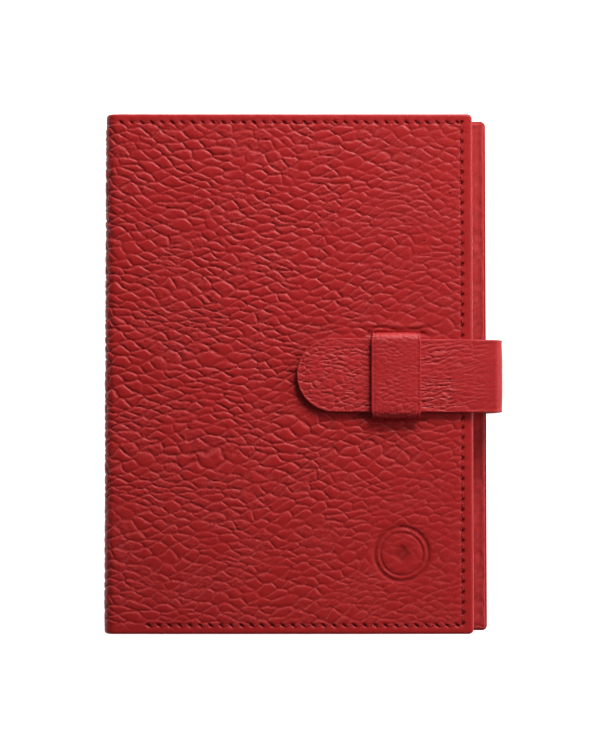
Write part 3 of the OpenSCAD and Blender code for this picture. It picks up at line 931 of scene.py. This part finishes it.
def lining_face(seed):
    def face(x, y, far):
        h, painted_highlight, crease = fine_grain(x, y, seed, 3.4, 1.9)
        margin = 1 - step(4, 8, far)
        h = (1.1 + 0.8 * margin) * h + (0.04 + 0.03 * margin) * fbm(x / 17, y / 12, seed + 5)
        rim = np.exp(-(((far - 1.0) / 0.3) ** 2))
        # Painted shade in the grooves and in the crease 1 mm inside the edge.
        painted_shade = np.maximum(0.35 * crease, 0.42 * rim)
        # Painted highlight on the crests, stronger in the margin.
        return h - 0.05 * rim, skin_values(x, y, (0.45 + 0.4 * margin) * painted_highlight, painted_shade, seed + 3)
    return face


def lining_piece(name, path, x_end, a, b, start, end, nodes):
    length = path.s_of(x_end)
    half = HALF - 0.6
    bend = path.flat + 2
    ls = np.concatenate([spaced(0, bend, 0.35, False, False)[:-1], spaced(bend, length, 0.8, False, True)])
    ws = spaced(-half, half, 0.8)
    inside = box_distance(0, length, -half, half, True)
    depths = LINING_LOW + 0.01, LINING_TOP
    obj = slab(name, path, ls, ws, *depths, lining_red, distance=inside, inner=lining_face(400), seed=44)
    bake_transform(obj)
    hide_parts(*nodes)
    return obj


front_bend = ((SPINE_X * MM, 0, (TOP - FOLD_R) * MM), (FOLD_X * MM, 0, TOP * MM))
back_bend = ((FOLD_X * MM, 0, 0), (SPINE_X * MM, 0, FOLD_R * MM))
lining_piece(
    "lining_front_leather", FRONT, FRONT_X - 0.6, "spine", "front_cover", *front_bend,
    ["lining_front", "lining_spine"],
)
lining_piece("lining_back_leather", BACK, BACK_X - 0.6, "back_cover", "spine", *back_bend, ["lining_back"])


def pocket_piece(name, path, box, d_out, d_in, body, node, shift=None, notch=None, seed=500):
    """A pocket panel over box, a pair of corners. notch is the middle and radius of a thumb notch in its mouth."""
    (x0, y0, _), (x1, y1, _) = box
    l0, l1 = path.s_of(x0), path.s_of(x1)
    ls = spaced(l0, l1, 0.9)
    ws = spaced(y0, y1, 0.9)
    plan = None
    inside = box_distance(l0, l1, y0, y1)
    distance = inside
    if notch:
        cx, r = path.s_of(notch[0]), notch[1]

        def start(w):
            return np.maximum(l0, cx + np.sqrt(np.maximum(r * r - w * w, 0)))

        def plan(l, w):
            share = (l1 - l) / (l1 - l0)
            return l1 - share * (l1 - start(w)), w

        def distance(l, w):
            pl, pw = plan(l, w)
            return np.minimum(inside(l, w), np.maximum(np.hypot(pl - cx, pw) - r, 0))

    face = lining_face(seed)
    obj = slab(name, path, ls, ws, d_out, d_in, lining_red, plan, distance, None, face, shift, 0.26, seed)
    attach(obj, body)
    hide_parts(node)
    return obj


def loose(x, y, fore):
    """1 in the middle of a pocket and at its mouth, and 0 along its seams. fore is the pocket's fore edge."""
    return step(0.2, 6.5, np.minimum(fore - 3.2 - x, SEAM_Y - np.abs(y)))


def puff(fore, path):
    """How far a pocket stands off what it is sewn to: pinched at its seams, raised elsewhere."""
    def shift(hx, y):
        x = hx if path.up else 2 * path.centre - hx - 2 * path.flat
        return (PUFF + PINCH) * loose(x, y, fore) - PINCH
    return shift


def card_lift(x, y):
    """How far the card pockets are drawn up to the cover where they are sewn to it."""
    return (PUFF + PINCH) * (1 - loose(x, y, slip_high[0]))


under_slip = TOP - slip_high[2]
pocket_piece(
    "passport_pocket_leather", BACK, (pocket_low, pocket_high), pocket_low[2] + 0.36, pocket_low[2] + 1.14,
    "back_cover", "passport_pocket", puff(pocket_high[0], BACK), (pocket_low[0] - 4, 13.0), 510,
)
pocket_piece(
    "slip_pocket_leather", FRONT, (slip_low, slip_high), under_slip + 0.36, under_slip + 0.94,
    "front_cover", "slip_pocket", puff(slip_high[0], FRONT), None, 520,
)


for k, part in enumerate(("upper", "middle", "lower")):
    low, high = limits("card_pocket_" + part)
    pocket_piece(
        "card_pocket_" + part + "_leather", FRONT, (low, high), TOP - high[2] + 0.01, TOP - low[2],
        "front_cover", "card_pocket_" + part, lambda x, y: -card_lift(x, y), None, 530 + 10 * k,
    )

# ---------------------------------------------------------------- threads


def stitches(name, runs, body, node, seed, radius=0.19, hump=0.12, lift=None):
    """Stitches along runs of (x0, y0, x1, y1, z, up), each a short arched cord whose ends go into its holes.

    up is 1 for thread on an upper face and -1 for thread under a lower one. lift(x, y) raises them.
    """
    points, faces, uv = [], [], []
    steps, sides = 9, 8
    for x0, y0, x1, y1, z, up in runs:
        length = math.hypot(x1 - x0, y1 - y0)
        ux, uy = (x1 - x0) / length, (y1 - y0) / length
        count = int(length // PITCH)
        for k in range(count):
            which = np.array([k]), np.array([int(abs(x0 + 7 * y0) * 10)])
            r1, r2, r3 = (float(rand(*which, seed + m)[0]) for m in range(3))
            slant = math.radians(9 + 5 * (r1 - 0.5))
            sx, sy = ux * math.cos(slant) - uy * math.sin(slant), uy * math.cos(slant) + ux * math.sin(slant)
            mid = (k + 0.5) * PITCH
            reach = 0.99 + 0.05 * (r2 - 0.5)
            first = len(points)
            for a in range(steps + 1):
                t = -1 + 2 * a / steps
                along = t * reach
                level = z + up * (hump * (1 - t * t) - 0.30 * max(0, abs(t) - 0.72) / 0.28 + 0.03 * (r3 - 0.5))
                width = radius * (1 - 0.35 * max(0, abs(t) - 0.6) / 0.4)
                cx = x0 + ux * mid + sx * along
                cy = y0 + uy * mid + sy * along
                level += float(lift(cx, cy)) if lift else 0
                for b in range(sides):
                    q = 2 * math.pi * b / sides
                    side = width * math.cos(q)
                    points.append((cx - sy * side, cy + sx * side, level + width * math.sin(q)))
                    uv.append((first * 0.7 + along, width * q))
            for a in range(steps):
                ring = first + a * sides
                for b in range(sides):
                    c = (b + 1) % sides
                    faces.append([ring + sides + b, ring + sides + c, ring + c, ring + b])
            faces.append([first + b for b in range(sides)])
            faces.append([first + steps * sides + b for b in range(sides)][::-1])
    obj = make(name, points, faces, thread, uv, None, 80)
    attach(obj, body)
    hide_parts(node)
    return obj


card_tops = [limits("card_pocket_" + part)[0][2] for part in ("upper", "middle", "lower")]
card_mouths = [limits("card_pocket_" + part)[1][1] for part in ("upper", "middle", "lower")]
slip_face = slip_low[2] + 0.45
outside = TOP - 0.20
front = [(*run, outside, 1) for run in front_runs()]
stitches("front_seam_stitches", front, "front_cover", "front_needle_thread", 600)
back = [(*run, 0.36, -1) for run in back_runs()]
stitches("back_seam_stitches", back, "back_cover", "back_needle_thread", 610, 0.22, 0.12)
px = slip_low[0]
stitches("front_inner_stitches", [
    (px + 0.6, SEAM_Y, FRONT_SEAM_X, SEAM_Y, slip_face, -1),
    (px + 3.0, -SEAM_Y, FRONT_SEAM_X, -SEAM_Y, card_tops[2] + (PUFF + PINCH), -1),
    (FRONT_SEAM_X, SEAM_Y, FRONT_SEAM_X, card_mouths[0] + 0.4, slip_face, -1),
    (FRONT_SEAM_X, card_mouths[0] - 0.4, FRONT_SEAM_X, card_mouths[1] + 0.4, card_tops[0] + (PUFF + PINCH), -1),
    (FRONT_SEAM_X, card_mouths[1] - 0.4, FRONT_SEAM_X, card_mouths[2] + 0.4, card_tops[1] + (PUFF + PINCH), -1),
    (FRONT_SEAM_X, card_mouths[2] - 0.4, FRONT_SEAM_X, -SEAM_Y, card_tops[2] + (PUFF + PINCH), -1),
], "front_cover", "front_bobbin_thread", 620, 0.2, 0.1)
cx = px + 1.6
stitches("card_pocket_stitches", [
    (cx, card_mouths[0] - 0.4, cx, card_mouths[1] + 0.4, card_tops[0], -1),
    (cx, card_mouths[1] - 0.4, cx, card_mouths[2] + 0.4, card_tops[1], -1),
    (cx, card_mouths[2] - 0.4, cx, -SEAM_Y + 1, card_tops[2], -1),
], "front_cover", "card_pocket_thread", 630, 0.2, 0.1, card_lift)
pl = pocket_low[0]
face = pocket_low[2] + 0.80
stitches("back_inner_stitches", [
    (FOLD_X + 6.5, SEAM_Y, pl - 0.3, SEAM_Y, LINING_TOP, 1),
    (FOLD_X + 6.5, -SEAM_Y, pl - 0.3, -SEAM_Y, LINING_TOP, 1),
    (pl + 0.6, SEAM_Y, BACK_SEAM_X, SEAM_Y, face, 1),
    (pl + 0.6, -SEAM_Y, BACK_SEAM_X, -SEAM_Y, face, 1),
    (BACK_SEAM_X, -SEAM_Y, BACK_SEAM_X, SEAM_Y, face, 1),
], "back_cover", "back_bobbin_thread", 640, 0.2, 0.1)

# ---------------------------------------------------------------- camera, floor and light


def aim(obj, target):
    obj.rotation_euler = (Vector(target) - obj.location).to_track_quat("-Z", "Y").to_euler()


camera_data = bpy.data.cameras.new("camera")
camera = bpy.data.objects.new("camera", camera_data)
bpy.context.scene.collection.objects.link(camera)
bpy.context.scene.camera = camera
camera_data.lens = 96
camera_data.clip_start = 0.01
camera.location = (-0.001, -0.02265, 0.5515)
camera.rotation_euler = (math.radians(2.35), 0, 0)

floor_nodes = Nodes("pale_floor")
speck = floor_nodes.noise(floor_nodes.node("ShaderNodeTexCoord").outputs["Object"], 4.0, 2)
pale = floor_nodes.mix(speck, (0.87, 0.87, 0.87, 1), (0.9, 0.9, 0.9, 1))
floor_nodes.set(floor_nodes.shader.inputs["Base Color"], pale)
floor_nodes.shader.inputs["Roughness"].default_value = 0.9
floor_nodes.shader.inputs["Emission Color"].default_value = (1, 1, 1, 1)
floor_nodes.shader.inputs["Emission Strength"].default_value = 1.0
bpy.ops.mesh.primitive_plane_add(size=4, location=(0, 0, -0.0002))
floor = bpy.context.object
floor.name = "floor"
floor.data.materials.append(floor_nodes.material)

world = bpy.data.worlds.new("studio")
bpy.context.scene.world = world
world.use_nodes = True
world.node_tree.nodes["Background"].inputs["Color"].default_value = (1, 1, 1, 1)
world.node_tree.nodes["Background"].inputs["Strength"].default_value = 0.15


def softbox(name, place, target, size, power):
    data = bpy.data.lights.new(name, "AREA")
    data.shape = "RECTANGLE"
    data.size, data.size_y = size
    data.energy = power
    obj = bpy.data.objects.new(name, data)
    bpy.context.scene.collection.objects.link(obj)
    obj.location = place
    aim(obj, target)


softbox("key_light", (0.22, 0.52, 0.33), (0, 0, 0), (0.28, 0.22), 5.8)
softbox("side_light", (0.60, 0.08, 0.34), (0, 0, 0), (0.3, 0.3), 2.0)

bpy.context.scene.view_settings.view_transform = "Standard"

for node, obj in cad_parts.items():
    if node.startswith("board"):
        obj.data.materials.clear()
        obj.data.materials.append(card)
